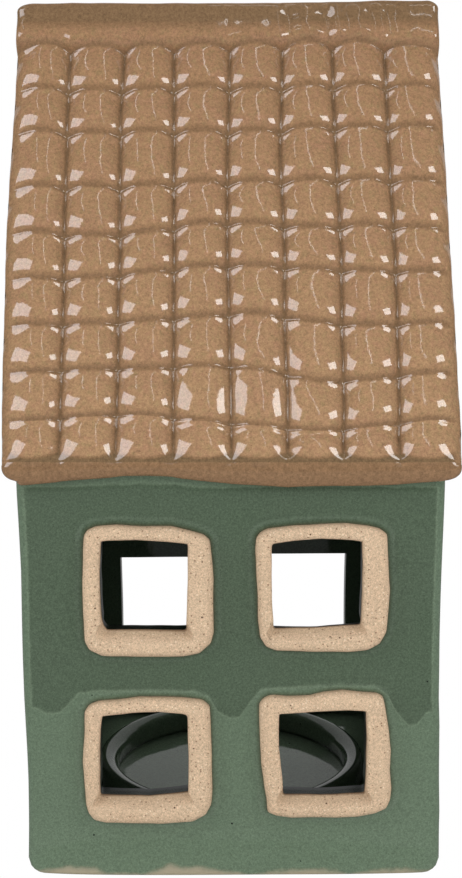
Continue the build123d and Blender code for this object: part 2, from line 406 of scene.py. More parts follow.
def wall_glaze():
    """Glossy grey-green glaze: a thin coat low down and a second, darker one over it, with highlights
    painted along the darker coat's edge and round the frames.
    """
    material, nodes = surface("wall_glaze")
    place = nodes.place()
    height = nodes.split(place, "Z")
    rim = nodes.layer("rim")
    inside = nodes.layer("coat")
    clouds = nodes.noise(place, 16.0, 3.0)
    grain = nodes.noise(place, 0.55, 2.0, 0.7)
    fine = nodes.noise(place, 0.26, 1.0)
    inside = inside + 0.9 * (nodes.noise(place, 3.5, 2.0) - 0.5)
    coat = inside.ramp(-0.1, 0.3)
    # A painted highlight along the edge of the darker coat.
    edge_highlight = nodes.bell((inside - 0.05) / 0.3)
    low = 1 - height.ramp(0.0, 0.04, "LINEAR")
    thin = nodes.blend(low, tone(97, 114, 94), tone(102, 119, 99))
    thick = nodes.blend(clouds, tone(77, 93, 74), tone(81, 95, 78))
    green = nodes.blend(coat, thin, thick)
    green = nodes.blend(edge_highlight * 0.35, green, tone(118, 134, 112))
    # A painted highlight line round each frame, and a dark brown line right against it.
    green = nodes.blend(rim.at_least(0) * 0.3, green, tone(122, 136, 120))
    green = nodes.blend((rim * -1).at_least(0) * 0.6, green, tone(74, 70, 48))
    green = nodes.tint(green, 1 + 0.95 * (grain - 0.5) + 0.7 * (fine - 0.5))
    pinholes = nodes.specks(place, 3.2, 0.07, 0.09)
    green = nodes.blend(pinholes, green, tone(20, 24, 20))
    foot_line = height / MM + 3.0 * (nodes.noise(place, 6.0, 3.0) - 0.5)
    foot_line = foot_line + 5.0 * (nodes.noise(place, 22.0, 1.0) - 0.5)
    foot = (1 - foot_line.ramp(0.0, 1.6)) * 0.7
    colour = nodes.blend(foot, green, tone(176, 160, 134))
    waves = nodes.bump(nodes.noise(place, 7.0, 2.0), 0.08)
    gloss = {"Base Color": colour, "Roughness": 0.06 + 0.7 * foot, "IOR": 1.5, "Normal": waves}
    finish_surface(nodes, gloss)
    return material


def bare_clay():
    """Matt sandy clay with dark and light grains, with shade painted darker where it is set back towards
    the wall. Deep in the wall the glaze covers it.
    """
    material, nodes = surface("bare_clay")
    place = nodes.place()
    depth = nodes.split(place, "Y") / MM + WALL_FACE
    clouds = nodes.noise(place, 5.0, 3.0)
    grain = nodes.noise(place, 0.5, 3.0, 0.8)
    fine = nodes.noise(place, 0.22, 1.0)
    clay = nodes.blend(clouds, tone(208, 183, 154), tone(200, 172, 143))
    clay = nodes.tint(clay, 1 + 1.3 * (grain - 0.5) + 0.9 * (fine - 0.5))
    dark = nodes.specks(place, 0.9, 0.3, 0.28)
    clay = nodes.blend(dark * 0.8, clay, tone(128, 96, 72))
    pits = nodes.specks(place, 2.2, 0.2, 0.13)
    clay = nodes.blend(pits, clay, tone(84, 56, 40))
    light = nodes.specks(place, 0.85, 0.35, 0.3)
    clay = nodes.blend(light * 0.7, clay, tone(238, 218, 190))
    # Painted shade: clay set back towards the wall face, in the reveals and on the frames' sides, is
    # darker.
    recess_shade = depth.ramp(-2.6, -0.9) * 0.3
    clay = nodes.blend(recess_shade, clay, tone(158, 132, 102))
    seam = depth.ramp(-0.7, -0.1)
    clay = nodes.blend(seam * 0.8, clay, tone(120, 92, 66))
    deep = depth.ramp(0.1, 0.5)
    clay = nodes.blend(deep, clay, tone(30, 38, 30))
    sand = nodes.bump(grain + 0.5 * dark, 0.12)
    sheen = {"Base Color": clay, "Roughness": 0.9 - 0.6 * deep, "Specular IOR Level": 0.2, "Normal": sand}
    finish_surface(nodes, sheen)
    return material


MATERIALS = {"roof_glaze": roof_glaze(), "wall_glaze": wall_glaze(), "bare_clay": bare_clay()}


# Solids
def placed(name, data):
    """A new object in the scene."""
    item = bpy.data.objects.new(name, data)
    bpy.context.scene.collection.objects.link(item)
    return item


def new_mesh(name, points, faces, layers=None):
    """A mesh with layers of values at its points."""
    mesh = bpy.data.meshes.new(name)
    mesh.from_pydata(points, [], faces)
    for key, values in (layers or {}).items():
        layer = mesh.attributes.new(key, "FLOAT", "POINT")
        layer.data.foreach_set("value", np.asarray(values, dtype=np.float32).reshape(-1))
    return mesh


def dress(name, slot, points, quads, normals, caps=(), layers=None):
    """Makes the finished piece of a CAD node. Corners of a quad without known normals make it flat."""
    keys = np.round(points / 1e-4).astype(np.int64)
    first, place = np.unique(keys, axis=0, return_index=True, return_inverse=True)[1:]
    place = place.reshape(-1)
    quads = np.asarray(quads)
    corners = points[quads]
    facing = np.cross(corners[:, 2] - corners[:, 0], corners[:, 3] - corners[:, 1])
    length = np.linalg.norm(facing, axis=1)
    volume = np.sum(np.einsum("fi,fi->f", corners[:, 0] + corners[:, 2], facing))
    facing /= np.maximum(length, 1e-12)[:, None]
    shades = normals[quads]
    unknown = np.isnan(shades).any(axis=(1, 2))
    if np.einsum("fci,fi->", shades[~unknown], facing[~unknown]) < 0:
        shades[~unknown] *= -1
    shades[unknown] = facing[unknown, None, :]
    welded = place[quads]
    order = np.argsort(welded, axis=1)
    twin = (np.diff(np.take_along_axis(welded, order, axis=1), axis=1) == 0).any(axis=1)
    faces = welded[~twin].tolist()
    splits = shades[~twin].reshape(-1, 3).tolist()
    for face, shade in zip(welded[twin].tolist(), shades[twin].tolist()):
        kept = [i for i in range(4) if face[i] != face[i - 1]]
        if len({face[i] for i in kept}) >= 3 and len(kept) == 3:
            faces.append([face[i] for i in kept])
            splits += [shade[i] for i in kept]
    for cap in caps:
        cap = cap[place[cap] != place[np.roll(cap, 1)]]
        places = points[cap]
        around = sum(np.cross(a - places[0], b - places[0]) for a, b in zip(places[1:-1], places[2:]))
        faces.append(place[cap].tolist())
        splits += [(around / np.linalg.norm(around)).tolist()] * len(cap)
    used = np.zeros(len(first), bool)
    for face in faces:
        used[face] = True
    renumber = (np.cumsum(used) - 1).tolist()
    faces = [[renumber[i] for i in face] for face in faces]
    if volume < 0:
        faces, turned, at = [face[::-1] for face in faces], [], 0
        for face in faces:
            turned += [[-v for v in shade] for shade in splits[at : at + len(face)][::-1]]
            at += len(face)
        splits = turned
    chosen = first[used]
    layers = {key: values[chosen] for key, values in (layers or {}).items()}
    mesh = new_mesh(name, (points[chosen] * MM).tolist(), faces, layers)
    mesh.materials.append(MATERIALS[slot])
    mesh.shade_smooth()
    mesh.normals_split_custom_set(splits)
    piece = placed(f"{name}_finished", mesh)
    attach(piece, "root")
    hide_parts(name)


def grid_normals(grid, round_rows=False, round_columns=False):
    """Normals at the points of a grid, across its rows and columns."""
    along = np.gradient(grid, axis=0)
    across = np.gradient(grid, axis=1)
    if round_rows:
        along = np.roll(grid, -1, axis=0) - np.roll(grid, 1, axis=0)
    if round_columns:
        across = np.roll(grid, -1, axis=1) - np.roll(grid, 1, axis=1)
    normals = np.cross(across, along)
    return normals / np.maximum(np.linalg.norm(normals, axis=2, keepdims=True), 1e-12)


def cell_corners(rows, columns):
    """The numbers of the points at the four corners of each cell of a grid."""
    grid = np.arange(rows * columns).reshape(rows, columns)
    return [grid[:-1, :-1], grid[:-1, 1:], grid[1:, 1:], grid[1:, :-1]]


def plate(name, slot, outer, inner, normals, keep=None, layers=None):
    """A solid between two grids of points. Cells that aren't kept are holes right through it."""
    rows, columns = outer.shape[:2]
    count = rows * columns
    corners = cell_corners(rows, columns)
    if keep is None:
        keep = np.ones((rows - 1, columns - 1), bool)
    open_round = ~np.pad(keep, 1)
    front = np.stack([corner[keep] for corner in corners], axis=1)
    beyond = (open_round[:-2, 1:-1], open_round[1:-1, 2:], open_round[2:, 1:-1], open_round[1:-1, :-2])
    quads = [front, front[:, ::-1] + count]
    for side in range(4):
        bare = keep & beyond[side]
        start, end = corners[side][bare], corners[(side + 1) % 4][bare]
        quads.append(np.stack([end, start, start + count, end + count], axis=1))
    points = np.concatenate([outer.reshape(-1, 3), inner.reshape(-1, 3)])
    shades = np.concatenate([normals.reshape(-1, 3), np.full((count, 3), np.nan)])
    both = {}
    for key, values in (layers or {}).items():
        pair = values if isinstance(values, tuple) else (values, values)
        both[key] = np.concatenate([np.asarray(part).reshape(-1) for part in pair])
    dress(name, slot, points, np.concatenate(quads), shades, layers=both)


def tube(name, slot, loops, closed, normals=None, layers=None):
    """A solid along a stack of loops: a ring if closed, or with a face at each end."""
    rows, columns = loops.shape[:2]
    if normals is None:
        normals = -grid_normals(loops, closed, True)
    grid = np.arange(rows * columns).reshape(rows, columns)
    lower, upper = (grid, np.roll(grid, -1, axis=0)) if closed else (grid[:-1], grid[1:])
    corners = [lower, upper, np.roll(upper, -1, axis=1), np.roll(lower, -1, axis=1)]
    quads = np.stack(corners, axis=2).reshape(-1, 4)
    caps = () if closed else (grid[0], grid[-1][::-1])
    flat = {key: np.asarray(values).reshape(-1) for key, values in (layers or {}).items()}
    dress(name, slot, loops.reshape(-1, 3), quads, normals.reshape(-1, 3), caps, flat)


def uneven(points, size=36.0, amount=0.45):
    """Moves points a little, the same way at the same place, as in clay formed by hand."""
    moved = np.array(points, float)
    flat = moved.reshape(-1, 3)
    for at, point in enumerate(flat):
        shift = noise.noise_vector(Vector(point) / size)
        lift = min(point[2] / 4.0, 1.0)
        flat[at] += np.array([shift[0], shift[1], shift[2] * lift]) * amount
    return moved


def curve(points, steps):
    """Points on a smooth line through the given ones."""
    points = np.asarray(points, float)
    padded = np.concatenate([[2 * points[0] - points[1]], points, [2 * points[-1] - points[-2]]])
    line = []
    for p0, p1, p2, p3 in zip(padded, padded[1:], padded[2:], padded[3:]):
        for t in np.linspace(0, 1, steps, endpoint=False):
            cubic = (2 * p0 - 5 * p1 + 4 * p2 - p3) * t**2 + (3 * p1 - p0 - 3 * p2 + p3) * t**3
            line.append(0.5 * (2 * p1 + (p2 - p0) * t + cubic))
    line.append(points[-1])
    return np.asarray(line)


def ramp(value, start, width):
    """0 up to start, then rising evenly to 1 over width."""
    return np.clip((value - start) / width, 0, 1)


def smoothed(values, reach):
    """Values averaged with those up to reach places away."""
    count = 2 * reach + 1
    return np.convolve(np.pad(values, reach, mode="edge"), np.ones(count) / count, mode="valid")


# Roof
def on_slope(along, height):
    """Places (y, z) on the front slope: along it from the eave, and above the roof slab."""
    depth = TILE_THICKNESS - height
    y = -EAVE_REACH + along * cos(ROOF_SLOPE) + depth * sin(ROOF_SLOPE)
    z = EAVE_POINT + along * sin(ROOF_SLOPE) - depth * cos(ROOF_SLOPE)
    return y, z


def tile_relief_tree():
    """The rule for the tiles' heights: a crowned face, a long rounded nose and a shelf below it."""
    tree = bpy.data.node_groups.new("tile_relief", "GeometryNodeTree")
    tree.interface.new_socket("Geometry", in_out="INPUT", socket_type="NodeSocketGeometry")
    tree.interface.new_socket("Geometry", in_out="OUTPUT", socket_type="NodeSocketGeometry")
    for label in RELIEF:
        tree.interface.new_socket(label, in_out="INPUT", socket_type="NodeSocketFloat")
    nodes = Nodes(tree)
    entry = tree.nodes.new("NodeGroupInput")
    given = {label: Value(nodes, entry.outputs[label]) for label in ("Geometry", *RELIEF)}

    def stored(label):
        return nodes.add("GeometryNodeInputNamedAttribute", {"data_type": "FLOAT"}, {"Name": label})

    from_groove, to_trench, to_verge = stored("from_groove"), stored("to_trench"), stored("to_verge")
    from_nose, to_top, past_line = stored("from_nose"), stored("to_top"), stored("past_line")
    on_cap, on_eave, flat = stored("on_cap"), stored("on_eave"), stored("flat")

    def rounded(distance, width, power):
        """From 0 at the edge of a tile to 1 on its flat."""
        return 1 - (1 - (distance / width).at_most(1)) ** power

    def soft(value, radius):
        """The value where it is above 0, else 0, with a soft bend between."""
        return (value + (value * value + radius * radius).root()) * 0.5

    corner = given["Nose Corner"]
    short = (corner - from_nose).at_least(0)
    inset = (corner - (corner * corner - short * short).at_least(0).root()) * (1 - on_eave)
    drawn_in = (from_groove - inset).at_least(from_groove.at_most(0))
    in_trench = (to_trench - inset * 0.7).at_least(0)
    trench = given["Trench Depth"] * nodes.bell(in_trench / given["Trench Width"])
    trench = trench * (1 - on_eave * (1 - from_nose.ramp(0.0, 2.5)))
    fall_at_side = given["Groove Depth"] * (1 - rounded(drawn_in, given["Shoulder"], 2.6))
    side_of_shelf = given["Groove Depth"] * (1 - rounded(from_groove, given["Shelf Shoulder"], 1.5))

    crest, nose_curve = given["Crest"], given["Nose Curve"]
    share = soft(from_nose - crest, 1.0) / soft(from_nose + to_top - crest, 1.0)
    before_crest = (crest - from_nose).at_least(0)
    nose_drop = nose_curve * before_crest * before_crest
    fall = given["Fall"] * (1 - flat)
    face = given["Crown"] - fall * share - nose_drop * (1 - flat * 0.6) - fall_at_side - trench
    arch = (1 - from_groove / given["Shoulder"]).at_least(0).at_most(1) ** 2.0
    shelf_line = given["Shelf"] + given["Shelf Arch"] * arch
    shelf_rise = given["Shelf Rise"] * (1 + arch) * (1 - flat)
    shelf_top = given["Crown"] - fall + shelf_rise - side_of_shelf - trench
    shelf = shelf_top - 0.1 * to_top
    cut = face - 1.5 * (1 - flat).at_least(0) * soft(shelf_line - to_top, 0.2)
    surface = cut + soft(shelf - cut, 0.15)
    tile = shelf_top + (surface - shelf_top) * rounded(from_nose, given["Nose Step"], 2.0)
    at_lip = given["Crown"] - nose_drop - 0.3 * fall_at_side
    tile = tile + (at_lip + (surface - at_lip) * from_nose.ramp(0.3, 3.6) - tile) * on_eave
    dip = given["Cap Dip"] * nodes.bell((past_line - 6.0) / 1.9)
    cap = shelf_top + (given["Cap Height"] - shelf_top) * rounded(from_nose, given["Cap Nose"], 2.4) - dip
    place = nodes.add("GeometryNodeInputPosition")
    across = nodes.split(place, "X")
    streaks = {"W": across * 0.24 + past_line * 0.03, "Scale": 1.0, "Detail": 0.0}
    strokes = nodes.add("ShaderNodeTexNoise", {"noise_dimensions": "1D"}, streaks)
    strokes = (strokes - 0.5) * 2.6 * across.ramp(6.0, 16.0)
    cap = cap + strokes * (1 - across.ramp(38.0, 44.0)) * (1 - past_line.ramp(6.5, 9.5))
    height = tile + (cap - tile) * on_cap
    for scale, detail, depth in ((0.11, 2.0, 0.6), (0.4, 1.0, 0.14)):
        inputs = {"Vector": place, "W": given["Seed"], "Scale": scale, "Detail": detail}
        dents = nodes.add("ShaderNodeTexNoise", {"noise_dimensions": "4D"}, inputs)
        height = height + (dents - 0.5) * depth

    inputs = {"Value": height, "Iterations": 2}
    glazed = nodes.add("GeometryNodeBlurAttribute", {"data_type": "FLOAT"}, inputs)
    # The grooves darken where the glaze pools in them.
    wide = 1.15 + past_line * 0.003
    core = (1 - (in_trench / wide).ramp(0.25, 0.85)) * 0.84
    core = core * (1 - on_eave * (1 - from_nose.ramp(0.8, 2.2)))
    # Painted shade on each tile's shoulders where they fall into a groove, over glaze that pools there.
    beside = (1 - to_trench / 2.2).at_least(0) * 0.35
    # Painted shade on each tile's nose and on the top of the tile just below it, over glaze that pools
    # there.
    nose = (1 - from_nose.ramp(0.3, 1.6)).at_least(1 - to_top.ramp(0.1, 0.8)) * (1 - on_eave) * 0.66
    on_tile = core.at_least(beside + nose - beside * nose * 0.5)
    # Painted shade on the first course towards the eave lip.
    lip_line = 0.9 + arch * 1.6
    on_tile = on_tile.at_least((1 - (from_nose - lip_line).ramp(-0.5, 0.6)) * on_eave)
    # Painted reflection on the ridge roll: a dark band where it mirrors the dark studio, lighter again
    # along its top edge; the crease at its foot is darker from glaze pooling and painted shade.
    on_ridge = past_line.ramp(1.2, 5.2) * 0.88 - past_line.ramp(8.5, 10.5) * 0.5
    on_ridge = on_ridge.at_least((1 - from_nose.ramp(0.0, 0.9)) * 0.6)
    # The layer that darkens the roof: glaze pooling in the grooves, and painted shade on the noses, groove
    # sides, eave lips, verges and ridge band.
    pool_and_shade = on_tile + (on_ridge - on_tile) * on_cap
    # At the verges the grooves' pooling fades out, and shade is painted where the tiles roll over the
    # edge.
    pool_and_shade = pool_and_shade * to_verge.ramp(0.4, 2.0).at_least(on_cap)
    pool_and_shade = pool_and_shade.at_least((1 - to_verge.ramp(0.3, 1.8)) * 0.4)
    saving = {"data_type": "FLOAT", "domain": "POINT"}
    marked = {"Geometry": given["Geometry"], "Name": "pool_and_shade", "Value": pool_and_shade}
    with_pool_and_shade = nodes.add("GeometryNodeStoreNamedAttribute", saving, marked)
    lift = nodes.add("ShaderNodeCombineXYZ", {}, {"Z": glazed})
    raised = nodes.add("GeometryNodeSetPosition", {}, {"Geometry": with_pool_and_shade, "Offset": lift})
    real = nodes.add("GeometryNodeRealizeInstances", {}, {"Geometry": raised})
    coat = {"Geometry": real, "Material": MATERIALS["roof_glaze"]}
    coated = nodes.add("GeometryNodeSetMaterial", {}, coat)
    leave = tree.nodes.new("NodeGroupOutput")
    tree.links.new(coated.socket, leave.inputs["Geometry"])
    return tree


def run_tree(tree, mesh, values):
    """Applies a tree to a mesh and gives back the plain result."""
    holder = placed("layout", mesh)
    modifier = holder.modifiers.new("rule", "NODES")
    modifier.node_group = tree
    for item in tree.interface.items_tree:
        if item.in_out == "INPUT" and item.name in values:
            modifier[item.identifier] = values[item.name]
    evaluated = holder.evaluated_get(bpy.context.evaluated_depsgraph_get())
    result = bpy.data.meshes.new_from_object(evaluated)
    bpy.data.objects.remove(holder)
    return result


def crowded(cells, crowding=0.7):
    """Shares from 0 to 1 that lie closer together towards both ends."""
    even = np.linspace(0, 1, cells + 1)
    return even - crowding * np.sin(2 * pi * even) / (2 * pi)


def ridge_start():
    """How far along the slope the rounding of the ridge starts."""
    foot_z = RIDGE_TOP - RIDGE_ROUND + RIDGE_ROUND * cos(ROOF_SLOPE)
    plane_z = EAVE_POINT - (TILE_THICKNESS - CAP_HEIGHT) * cos(ROOF_SLOPE)
    return (foot_z - plane_z) / sin(ROOF_SLOPE)


def course_levels(phases, side):
    """How far along the slope each course line runs at each column, with its tiles set by hand."""
    levels = []
    for start, shifts, arch in zip(COURSE_LINES, COURSE_SHIFTS, COURSE_ARCHES):
        knots = np.column_stack([np.arange(TILES) + 0.5, shifts])
        run = curve(np.concatenate([[[0.0, shifts[0]]], knots, [[float(TILES), shifts[-1]]]]), 6)
        across = phases if side < 0 else TILES - phases
        shift = np.interp(across, run[:, 0], run[:, 1]) * (1.0 if side < 0 else 0.5)
        from_middle = np.abs(2 * (phases % 1) - 1)
        nose = COURSE_NOSE if start > COURSE_LINES[0] else 0.0
        levels.append(start + shift - nose - arch * from_middle**2)
    return np.asarray(levels)


def slope_rows(phases, side):
    """The rows of one slope from its first course line to the ridge: how far along it each lies, how far
    from the nose and the line above, and whether it is on the cap or at the eave."""
    levels = course_levels(phases, side)
    shares = crowded(CELLS_PER_TILE)[:-1, None]
    layers = []
    for number, (low, high) in enumerate(zip(levels, levels[1:])):
        rows = low + (high - low) * shares
        layers.append((rows, rows - low, high - rows, 0 * rows, 0 * rows + (number == 0)))
    start, last = ridge_start(), levels[-1]
    rise = (np.linspace(0, 1, NOSE_ROWS + 1) ** 1.3)[:-1, None]
    bend = np.linspace(0, 1, ARC_ROWS + 1)[:, None] * RIDGE_ROUND * ROOF_SLOPE
    rows = np.concatenate([last + (start - last) * rise, start + bend + 0 * last])
    layers.append((rows, rows - last, 0 * rows + FAR, 0 * rows + 1, 0 * rows))
    return [np.concatenate(layer) for layer in zip(*layers)]


def sideways(x, along, side):
    """How far each place lies beside its straight column, by strayed grooves and bulging verges."""
    middles = [(low + high) / 2 for low, high in zip(COURSE_LINES, COURSE_LINES[1:])]
    across = np.tile(x * -side, (len(along), 1))
    places = np.arange(*STRAY_ENDS, STRAY_STEP)
    stray = np.zeros_like(along)
    for number, shifts in enumerate(GROOVE_SHIFTS, 1):
        line = smoothed(np.interp(places, middles, shifts), STRAY_REACH)
        near = [float(at == number) for at in range(TILES + 1)]
        stray += np.interp(along, places, line) * np.interp(across, GROOVE_LINES, near)
    fade = np.clip((COURSE_LINES[-1] - along) / 4.0 + 0.5, 0, 1)
    stray *= fade * (1.0 if side < 0 else -0.5)
    reach = ramp(np.abs(x), ROOF_HALF - 3.5, 3.5)
    reach = reach * reach * (3 - 2 * reach)
    left, right = np.interp(along, VERGE_ALONG, VERGE_LEFT), np.interp(along, VERGE_ALONG, VERGE_RIGHT)
    return stray + reach * np.where(x < 0, -left, right)


def verge_columns(x):
    """The columns with the ones that roll over both verges, and how far each of these drops."""
    edge = ROOF_HALF - VERGE_ROUND
    turn = np.linspace(0, pi / 2, 6)
    x = x[np.abs(x) < edge - 0.1]
    over = np.concatenate([edge + VERGE_ROUND * np.sin(turn), np.full(4, ROOF_HALF)])
    drop = np.concatenate([VERGE_ROUND * (1 - np.cos(turn)), VERGE_ROUND + np.array([0.9, 1.8, 2.7, 9.0])])
    return np.concatenate([-over[::-1], x, over]), np.concatenate([drop[::-1], 0 * x, drop])


def roof_sheet():
    """The roof's surface as rows of points from the front eave over the ridge to the rear one."""
    step = crowded(CELLS_PER_TILE)[:-1]
    phases = np.concatenate([tile + step for tile in range(TILES)] + [[float(TILES)]])
    x, drop = verge_columns(np.interp(phases, range(TILES + 1), GROOVE_LINES))
    phases = np.interp(x, GROOVE_LINES, range(TILES + 1))
    to_lines = np.abs(x[:, None] - np.asarray(GROOVE_LINES)[None, :])
    to_trench = to_lines[:, 1:-1].min(1)
    from_verge = (to_lines[:, [0, -1]].min(1) + VERGE_SHIFT) * VERGE_CURVE
    from_groove = np.minimum(to_trench, np.maximum(from_verge, -1.0))
    slopes = []
    for side in (-1, 1):
        layers = slope_rows(phases, side)
        slopes.append([*layers, x + sideways(x, layers[0], side)])
    front, rear = slopes
    along, nose, top, cap, eave, across = [np.concatenate([f, r[:-1][::-1]]) for f, r in zip(front, rear)]
    half = len(front[0])
    rows, columns = along.shape
    in_front = np.arange(rows)[:, None] < half
    unrolled = np.where(in_front, along, 2 * along[half - 1, 0] - along)
    flat = np.stack([np.tile(x, (rows, 1)), unrolled, 0 * along], axis=2).reshape(-1, 3)
    quads = np.stack(cell_corners(rows, columns), axis=2).reshape(-1, 4)
    layers = {"from_nose": nose, "to_top": top, "on_cap": cap, "on_eave": eave}
    layers["past_line"] = along - COURSE_LINES[-1]
    off_x = (across - PRESSED_PLACE[0]) / PRESSED_REACH[0]
    off_along = (along - PRESSED_PLACE[1]) / PRESSED_REACH[1]
    layers["flat"] = PRESSED * np.exp(-(off_along**2) - off_x**4) * in_front
    layers["from_groove"] = np.tile(from_groove, (rows, 1))
    layers["to_trench"] = np.tile(to_trench, (rows, 1))
    layers["to_verge"] = np.tile(ROOF_HALF - np.abs(x), (rows, 1))
    mesh = new_mesh("layout", flat.tolist(), quads.tolist(), layers)
    result = run_tree(tile_relief_tree(), mesh, RELIEF)
    places = np.empty(rows * columns * 3, dtype=np.float32)
    result.vertices.foreach_get("co", places)
    pool_and_shade = np.empty(rows * columns, dtype=np.float32)
    result.attributes["pool_and_shade"].data.foreach_get("value", pool_and_shade)
    height = places.reshape(rows, columns, 3)[:, :, 2].astype(float)
    height = np.maximum(height - drop[None, :], 0.0)
    start = ridge_start()
    y, z = on_slope(np.minimum(along, start), height)
    facing = pi / 2 - ROOF_SLOPE + np.clip((along - start) / RIDGE_ROUND, 0, ROOF_SLOPE)
    reach = np.maximum(RIDGE_ROUND + height - CAP_HEIGHT, 0.3)
    y = np.where(along > start, -reach * np.cos(facing), np.minimum(y, -0.3))
    z = np.where(along > start, RIDGE_TOP - RIDGE_ROUND + reach * np.sin(facing), z)
    front_z = np.maximum.accumulate(z[:half])
    rear_z = np.maximum.accumulate(z[half:][::-1])[::-1]
    z = np.where(along > start - 2.5, np.concatenate([front_z, rear_z]), z)
    y = np.where(in_front, y, -y)
    capped = ramp(along, COURSE_LINES[-1], start - COURSE_LINES[-1])
    z = z + capped * np.interp(across, RIDGE_LIFT_X, RIDGE_LIFT)
    sheet = np.stack([across, y, z], axis=2)
    return sheet, along, pool_and_shade.reshape(rows, columns), half, np.minimum(drop, VERGE_ROUND)


def lip_rows(x, drop, side):
    """Rows of points round the rolled lip of an eave, from the ceiling out to the first course."""
    outline = (
        (CEILING_REACH, EAVE_HEIGHT),
        (CEILING_REACH + 3.0, EAVE_HEIGHT - 0.1),
        (EAVE_REACH - 2.8, EAVE_HEIGHT - 0.1),
        (EAVE_REACH - 1.8, EAVE_HEIGHT + 0.6),
        (EAVE_REACH - 1.35, EAVE_HEIGHT + 1.7),
        (EAVE_REACH - 1.25, EAVE_HEIGHT + 2.7),
        (EAVE_REACH - 1.35, EAVE_HEIGHT + 3.7),
    )
    wave = smoothed(np.interp(x, EAVE_WAVE_X, EAVE_WAVE), 5)
    if side > 0:
        wave = 0.6 * wave[::-1]
    rows = []
    for reach, z in curve(outline, 4):
        outside = ramp(reach, CEILING_REACH, 3.0)
        hang = np.clip((EAVE_HEIGHT + 4.6 - z) / 4.6, 0, 1) * outside
        away = np.array([reach - EAVE_REACH + 5.0, z - EAVE_HEIGHT - 3.0])
        away *= outside / np.linalg.norm(away)
        y = side * (reach - away[0] * drop)
        rows.append(np.stack([x, y, z + wave * hang - away[1] * drop], axis=1))
    return np.asarray(rows)


def trimmed(points):
    """Points of the roof with its corners rounded, as seen from the front."""
    x, z = points[..., 0], points[..., 2]
    top = RIDGE_TOP + np.interp(x, RIDGE_LIFT_X, RIDGE_LIFT)
    low = np.clip(EAVE_CORNER - (z - EAVE_HEIGHT), 0, EAVE_CORNER)
    high = np.clip(RIDGE_CORNER - (top - z), 0, RIDGE_CORNER)
    inset = EAVE_CORNER - np.sqrt(EAVE_CORNER**2 - low**2)
    inset = inset + RIDGE_CORNER - np.sqrt(RIDGE_CORNER**2 - high**2)
    share = ramp(np.abs(x), CORNER_START, ROOF_HALF - CORNER_START)
    return np.stack([x - np.sign(x) * inset * share**2, points[..., 1], z], axis=-1)


def slab_loops(lip, first_row, ridge_x, side):
    """Outlines of a roof slab, one at each column, from the ceiling round the lip to the apex."""
    base = np.array(first_row)
    slope_y, slope_z = on_slope(COURSE_LINES[0], 0.0)
    base[:, 1], base[:, 2] = side * -slope_y, slope_z
    middle = 0 * ridge_x
    apex = np.stack([ridge_x, middle, middle + SLAB_APEX], axis=1)
    ceiling = np.stack([ridge_x, middle, middle + CEILING_APEX], axis=1)
    return np.concatenate([lip, [first_row, base, apex, ceiling]])


def roof():
    """The tile courses, the ridge cap and the two slabs, all cut from one surface."""
    sheet, along, pool_and_shade, half, drop = roof_sheet()
    lips = {side: lip_rows(sheet[0, :, 0], drop, side) for side in (-1, 1)}
    whole = trimmed(np.concatenate([lips[-1], sheet, lips[1][::-1]]))
    normals = grid_normals(whole)
    first = len(lips[-1])
    last = first + len(sheet)
    sheet, shades = whole[first:last], normals[first:last]
    base = np.array(sheet)
    y, z = on_slope(along, 0.0)
    base[..., 1] = np.where(y < 0, y, 0.0) * np.where(np.arange(len(along)) < half, 1, -1)[:, None]
    base[..., 2] = np.where(y < 0, z, SLAB_APEX)
    total = len(sheet)
    parts = {}
    for number in range(1, COURSES + 1):
        low, high = (number - 1) * CELLS_PER_TILE, number * CELLS_PER_TILE
        parts[f"front_tile_course_{number}"] = slice(low, high + 1)
        parts[f"rear_tile_course_{number}"] = slice(total - 1 - high, total - low)
    parts["ridge_cap"] = slice(high, total - high)
    for name, rows in parts.items():
        plate(name, "roof_glaze", sheet[rows], base[rows], shades[rows], layers={"pool_and_shade": pool_and_shade[rows]})
    sides = (
        ("front_roof_slab", whole[:first], sheet[0], normals[: first + 1], -1),
        ("rear_roof_slab", whole[last:][::-1], sheet[-1], normals[last - 1 :][::-1], 1),
    )
    for name, lip, edge, lip_shades, side in sides:
        ridge_x = np.clip(sheet[half - 1, :, 0], -ROOF_HALF, ROOF_HALF - 0.3)
        loops = slab_loops(lip, edge, ridge_x, side)
        shades = np.full(loops.shape, np.nan)
        shades[: first + 1] = lip_shades
        # The slabs' eave lips are painted darker, most of all low down, as the shade under the eaves.
        layers = {"pool_and_shade": np.clip((EAVE_HEIGHT + 4.4 - loops[..., 2]) / 6.0, 0, 0.1).T + 0.6}
        tube(name, "roof_glaze", loops.transpose(1, 0, 2), False, shades.transpose(1, 0, 2), layers)


# Windows
def ring_radii(outline, centre, angles):
    """Distance from a centre to an outline, in each direction."""
    points = np.reshape(outline, (-1, 2)) - centre
    points = np.concatenate([points, points[:1]])
    shares = np.arange(0, 1, 0.05)[:, None]
    steps = np.concatenate([start + (end - start) * shares for start, end in zip(points, points[1:])])
    turns = np.arctan2(steps[:, 1], steps[:, 0])
    order = np.argsort(turns)
    lengths = np.hypot(*steps.T)
    radii = np.interp(angles, turns[order], lengths[order], period=2 * pi)
    return 0.2 * np.roll(radii, -1) + 0.6 * radii + 0.2 * np.roll(radii, 1)


def frame_shape(name):
    """The centre of a frame, the directions from it, and its outer and inner edge in each."""
    outer, opening = FRAMES[name]
    opening_points = np.reshape(opening, (-1, 2))
    centre = (opening_points.min(0) + opening_points.max(0)) / 2
    angles = np.linspace(-pi, pi, FRAME_STEPS, endpoint=False)
    return centre, angles, ring_radii(outer, centre, angles), ring_radii(opening, centre, angles)


